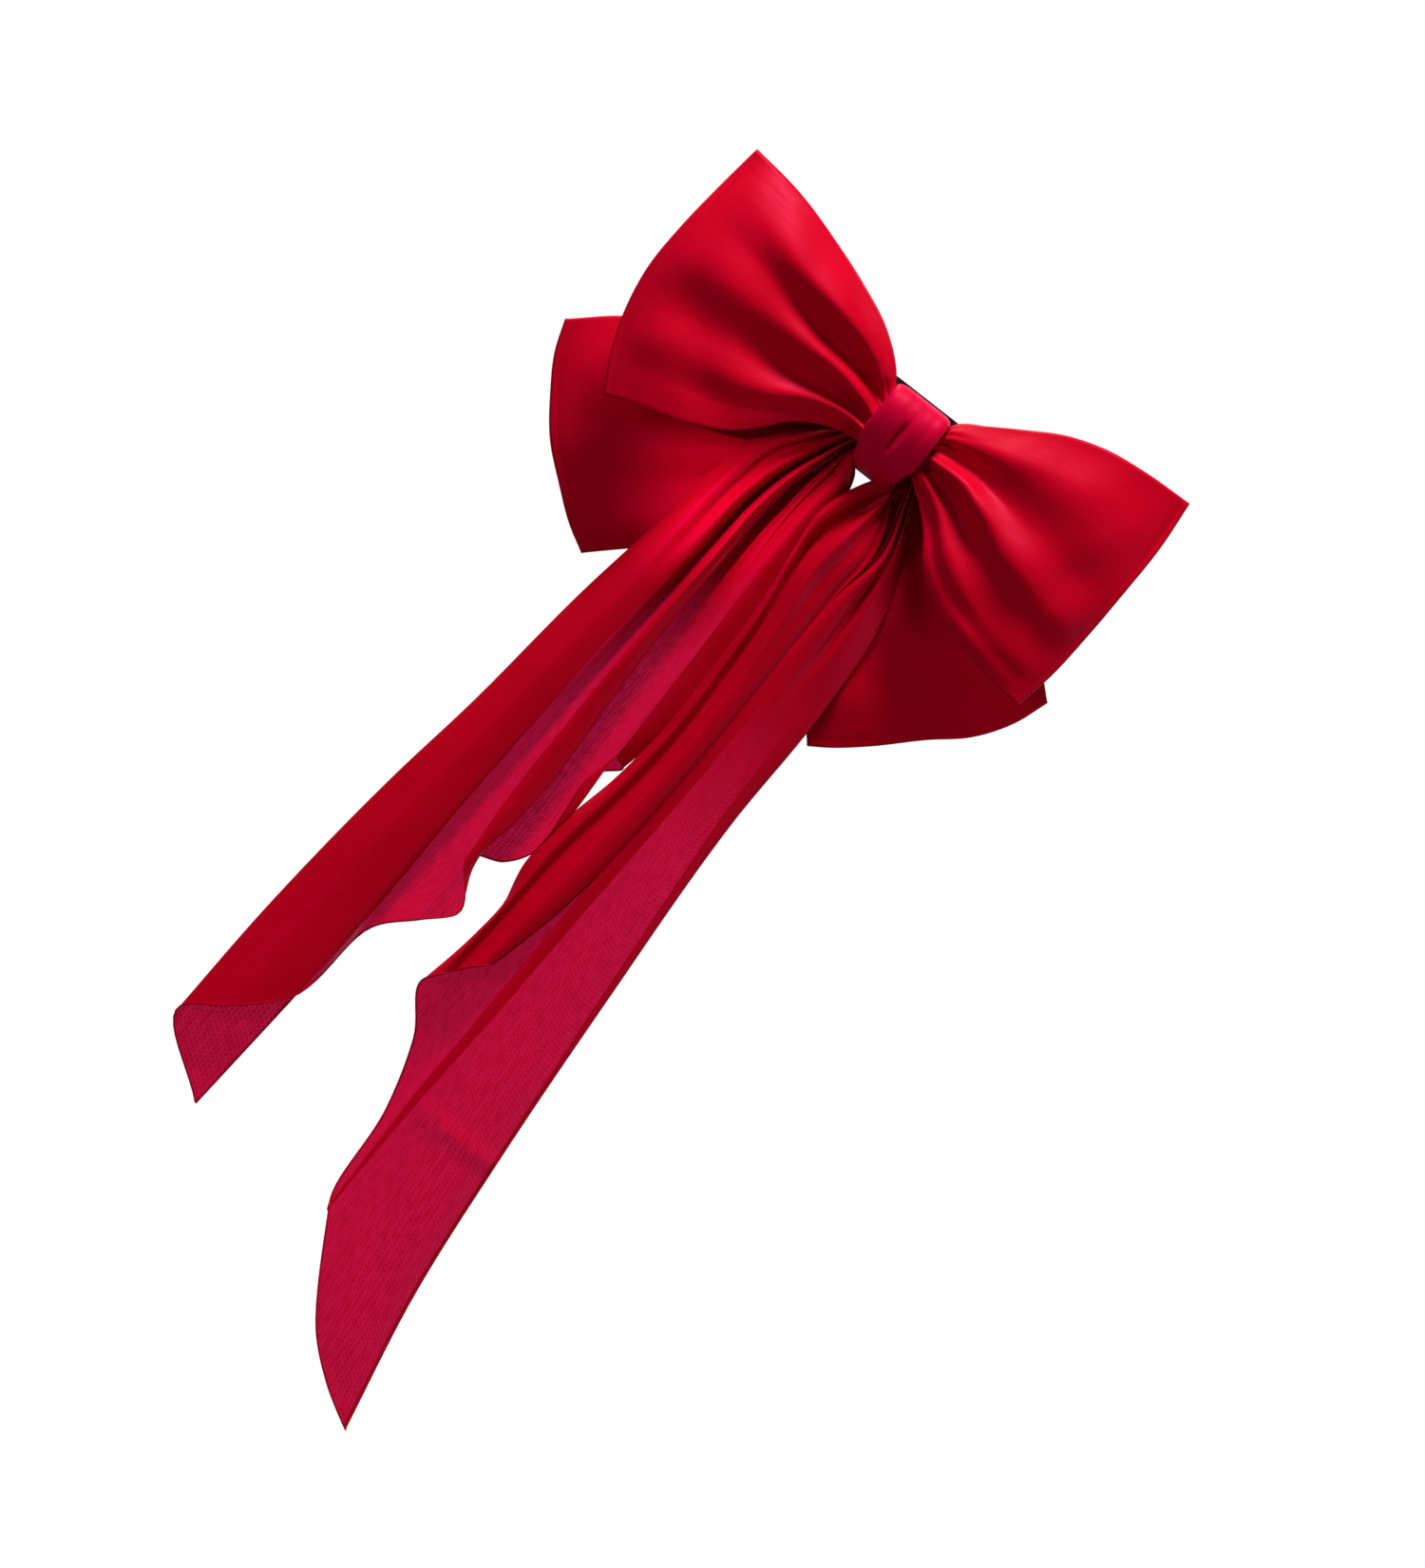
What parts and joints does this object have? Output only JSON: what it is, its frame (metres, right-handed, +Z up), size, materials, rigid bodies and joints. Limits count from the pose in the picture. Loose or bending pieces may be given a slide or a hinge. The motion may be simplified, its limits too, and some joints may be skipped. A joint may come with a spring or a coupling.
{
  "type": "hair bow",
  "caption": "Layered satin hair bow with two tiers of loops, a wrapped knot, long slant-cut ribbon tails and a French barrette clasp behind.",
  "frame": {"origin": "centre of the gap in the barrette that holds the hair, level with the middle of the plate", "axes": "+X along the wings, to the right as seen from the front; +Y away from the viewer, to the head; +Z up, so the tails hang along -Z"},
  "size_m": [0.1753, 0.0395, 0.3633],
  "materials": {
    "satin": "red polyester satin",
    "tail_ribbon": "red sheer satin",
    "thread": "red sewing thread",
    "glue": "hot-melt glue",
    "clasp_enamel": "black baked enamel on spring steel",
    "clasp_steel": "plain steel"
  },
  "bodies": {
    "bow": {"front_bow": "satin", "back_bow": "satin", "tail_strip": "tail_ribbon", "knot_band": "satin", "front_binding": "thread", "back_binding": "thread", "tail_binding": "thread", "glue_pad": "glue", "top_plate": "clasp_enamel", "hinge_pin": "clasp_steel", "catch_base": "clasp_enamel", "catch_rivets": "clasp_steel"},
    "clasp": {"clasp_arm": "clasp_enamel"},
    "spring_bar": {"tension_bar": "clasp_enamel"},
    "prong_top": {"release_prong_upper": "clasp_enamel"},
    "prong_bottom": {"release_prong_lower": "clasp_enamel"}
  },
  "joints": [
    {"name": "clasp_hinge", "type": "hinge", "parent": "bow", "child": "clasp", "pos_m": [-0.038, 0.0046, 0], "axis": [0, 0, 1], "range_deg": [0, 80]},
    {"name": "bar_pivot", "type": "hinge", "parent": "bow", "child": "spring_bar", "pos_m": [-0.0358, -0.00057, 0], "axis": [0, 0, 1], "range_deg": [0, 8]},
    {"name": "prong_squeeze", "type": "hinge", "parent": "bow", "child": "prong_top", "pos_m": [0.0349, -0.0006, 0.00235], "axis": [-1, 0, 0], "range_deg": [0, 7], "stiffness_Nm_per_rad": 0.002},
    {"name": "prong_squeeze_lower", "type": "hinge", "parent": "bow", "child": "prong_bottom", "pos_m": [0.0349, -0.0006, -0.00235], "axis": [1, 0, 0], "range_deg": [0, 7], "stiffness_Nm_per_rad": 0.002}
  ],
  "couplings": [
    {"joint": "bar_pivot", "follows": "clasp_hinge", "ratio": 0.08},
    {"joint": "prong_squeeze_lower", "follows": "prong_squeeze", "ratio": 1}
  ]
}
